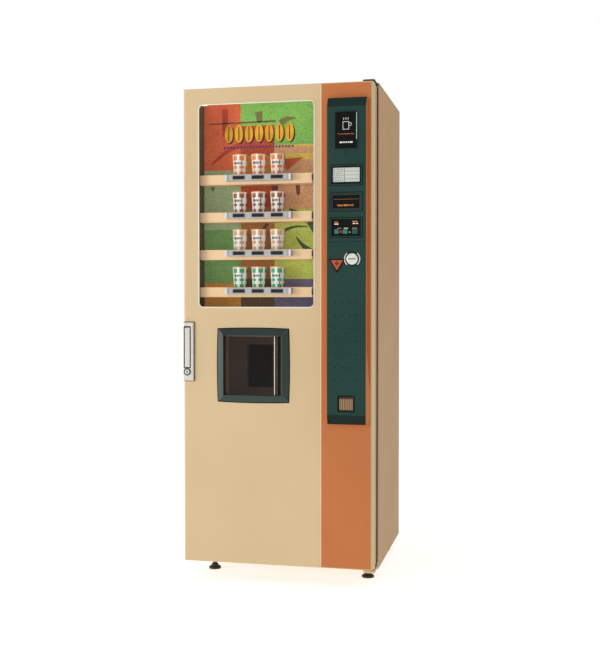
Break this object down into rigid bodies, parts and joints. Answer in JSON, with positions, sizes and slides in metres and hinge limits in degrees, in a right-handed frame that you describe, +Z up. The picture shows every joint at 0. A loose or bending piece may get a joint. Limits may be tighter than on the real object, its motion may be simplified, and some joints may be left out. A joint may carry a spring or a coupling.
{
  "type": "hot drink vending machine",
  "caption": "Full-size hot drink vending machine: steel cabinet with hinged front door, lit cup display, push buttons, coin column and cup station.",
  "frame": {"origin": "on the floor under the middle of the whole machine's box", "axes": "+X to the right as the customer faces the machine, +Y to its back, +Z up"},
  "size_m": [0.7, 0.791, 1.83],
  "materials": {
    "door_paint": "satin beige enamel",
    "cabinet_paint": "satin tan enamel",
    "accent_paint": "satin orange enamel",
    "column_plastic": "fine textured dark green",
    "black_plastic": "gloss black",
    "card": "printed card under film",
    "button_grey": "satin grey",
    "button_dark": "satin dark grey",
    "bar_plastic": "satin peach",
    "case_white": "white, printed picture board",
    "clear_pane": "clear acrylic",
    "smoked_acrylic": "smoked acrylic",
    "paper_cup": "printed paper cup",
    "lamp_glass": "opal tube",
    "orange_plastic": "satin orange",
    "steel_plate": "brushed",
    "chrome_trim": "polished",
    "bronze": "bronze brown paint",
    "bracket_steel": "dark bronze paint",
    "zinc": "zinc plated",
    "seal_rubber": "black",
    "chamber_plastic": "dark grey",
    "clear_hopper": "translucent cream",
    "unit_grey": "grey case",
    "tank_jacket": "insulated jacket",
    "bucket_plastic": "blue grey"
  },
  "bodies": {
    "cabinet": {"left_side_panel": "cabinet_paint", "right_side_panel": "cabinet_paint", "top_panel": "cabinet_paint", "rear_panel": "cabinet_paint", "base_frame": "cabinet_paint", "upper_hinge_bracket": "bracket_steel", "lower_hinge_bracket": "door_paint", "hinge_hardware": "zinc", "equipment_shelves": "zinc", "ingredient_canisters": "clear_hopper", "mixer_units": "unit_grey", "hot_water_tank": "tank_jacket", "cup_magazine": "clear_hopper", "control_unit": "unit_grey"},
    "door": {"door_skin": "door_paint", "door_inner_pan": "cabinet_paint", "door_seal": "seal_rubber", "hinge_blocks": "zinc", "accent_panel": "accent_paint", "column_upper": "column_plastic", "column_lower": "column_plastic", "sign_plate": "black_plastic", "price_card": "card", "display_module": "black_plastic", "status_panel": "black_plastic", "coin_inlet": "chrome_trim", "coin_mechanism": "unit_grey", "window_pane": "clear_pane", "art_board": "case_white", "lamp_tube": "lamp_glass", "shelf_bars": "bar_plastic", "button_strips": "button_grey", "sample_cups": "paper_cup", "cup_station_frame": "column_plastic", "cup_station_box": "chamber_plastic", "handle_plate": "steel_plate"},
    "lever": {"handle_lever": "steel_plate"},
    "lock": {"lock_cylinder": "chrome_trim"},
    "cup_door": {"cup_station_door": "smoked_acrylic"},
    "coin_return": {"coin_return_button": "orange_plastic"},
    "return_flap": {"coin_return_flap": "bronze"},
    "cash_drawer": {"cash_box": "zinc"},
    "bucket": {"waste_bucket": "bucket_plastic"},
    "button_1": {"selection_button_1": "button_dark"},
    "button_2": {"selection_button_2": "button_dark"},
    "button_3": {"selection_button_3": "button_dark"},
    "button_4": {"selection_button_4": "button_dark"},
    "button_5": {"selection_button_5": "button_dark"},
    "button_6": {"selection_button_6": "button_dark"},
    "button_7": {"selection_button_7": "button_dark"},
    "button_8": {"selection_button_8": "button_dark"},
    "button_9": {"selection_button_9": "button_dark"},
    "button_10": {"selection_button_10": "button_dark"},
    "button_11": {"selection_button_11": "button_dark"},
    "button_12": {"selection_button_12": "button_dark"},
    "front_left_foot_body": {"front_left_foot": "bracket_steel"},
    "front_right_foot_body": {"front_right_foot": "bracket_steel"},
    "rear_left_foot_body": {"rear_left_foot": "bracket_steel"},
    "rear_right_foot_body": {"rear_right_foot": "bracket_steel"}
  },
  "joints": [
    {"name": "door_hinge", "type": "hinge", "parent": "cabinet", "child": "door", "pos_m": [0.338, -0.2695, 0.9455], "axis": [0, 0, 1], "range_deg": [0, 110]},
    {"name": "lever_pull", "type": "hinge", "parent": "door", "child": "lever", "pos_m": [-0.3335, -0.3495, 0.9365], "axis": [-1, 0, 0], "range_deg": [0, 40], "stiffness_Nm_per_rad": 0.8},
    {"name": "lock_turn", "type": "hinge", "parent": "door", "child": "lock", "pos_m": [-0.3335, -0.3445, 0.778], "axis": [0, -1, 0], "range_deg": [0, 90]},
    {"name": "cup_door_swing", "type": "hinge", "parent": "door", "child": "cup_door", "pos_m": [-0.189, -0.3405, 0.804], "axis": [0, 0, -1], "range_deg": [0, 90], "stiffness_Nm_per_rad": 0.08},
    {"name": "coin_return_push", "type": "slide", "parent": "door", "child": "coin_return", "axis": [0, 1, 0], "range_m": [0, 0.003], "stiffness_N_per_m": 400},
    {"name": "coin_flap_swing", "type": "hinge", "parent": "door", "child": "return_flap", "pos_m": [0.262, -0.382, 0.698], "axis": [1, 0, 0], "range_deg": [0, 35]},
    {"name": "cash_box_slide", "type": "slide", "parent": "door", "child": "cash_drawer", "axis": [0, 1, 0], "range_m": [0, 0.09]},
    {"name": "bucket_lift", "type": "slide", "parent": "cabinet", "child": "bucket", "axis": [0, 0, 1], "range_m": [0, 0.12]},
    {"name": "button_1_press", "type": "slide", "parent": "door", "child": "button_1", "axis": [0, 1, 0], "range_m": [0, 0.0025], "stiffness_N_per_m": 300},
    {"name": "button_2_press", "type": "slide", "parent": "door", "child": "button_2", "axis": [0, 1, 0], "range_m": [0, 0.0025], "stiffness_N_per_m": 300},
    {"name": "button_3_press", "type": "slide", "parent": "door", "child": "button_3", "axis": [0, 1, 0], "range_m": [0, 0.0025], "stiffness_N_per_m": 300},
    {"name": "button_4_press", "type": "slide", "parent": "door", "child": "button_4", "axis": [0, 1, 0], "range_m": [0, 0.0025], "stiffness_N_per_m": 300},
    {"name": "button_5_press", "type": "slide", "parent": "door", "child": "button_5", "axis": [0, 1, 0], "range_m": [0, 0.0025], "stiffness_N_per_m": 300},
    {"name": "button_6_press", "type": "slide", "parent": "door", "child": "button_6", "axis": [0, 1, 0], "range_m": [0, 0.0025], "stiffness_N_per_m": 300},
    {"name": "button_7_press", "type": "slide", "parent": "door", "child": "button_7", "axis": [0, 1, 0], "range_m": [0, 0.0025], "stiffness_N_per_m": 300},
    {"name": "button_8_press", "type": "slide", "parent": "door", "child": "button_8", "axis": [0, 1, 0], "range_m": [0, 0.0025], "stiffness_N_per_m": 300},
    {"name": "button_9_press", "type": "slide", "parent": "door", "child": "button_9", "axis": [0, 1, 0], "range_m": [0, 0.0025], "stiffness_N_per_m": 300},
    {"name": "button_10_press", "type": "slide", "parent": "door", "child": "button_10", "axis": [0, 1, 0], "range_m": [0, 0.0025], "stiffness_N_per_m": 300},
    {"name": "button_11_press", "type": "slide", "parent": "door", "child": "button_11", "axis": [0, 1, 0], "range_m": [0, 0.0025], "stiffness_N_per_m": 300},
    {"name": "button_12_press", "type": "slide", "parent": "door", "child": "button_12", "axis": [0, 1, 0], "range_m": [0, 0.0025], "stiffness_N_per_m": 300},
    {"name": "front_left_foot_screw", "type": "slide", "parent": "cabinet", "child": "front_left_foot_body", "axis": [0, 0, -1], "range_m": [0, 0.015]},
    {"name": "front_right_foot_screw", "type": "slide", "parent": "cabinet", "child": "front_right_foot_body", "axis": [0, 0, -1], "range_m": [0, 0.015]},
    {"name": "rear_left_foot_screw", "type": "slide", "parent": "cabinet", "child": "rear_left_foot_body", "axis": [0, 0, -1], "range_m": [0, 0.015]},
    {"name": "rear_right_foot_screw", "type": "slide", "parent": "cabinet", "child": "rear_right_foot_body", "axis": [0, 0, -1], "range_m": [0, 0.015]}
  ]
}
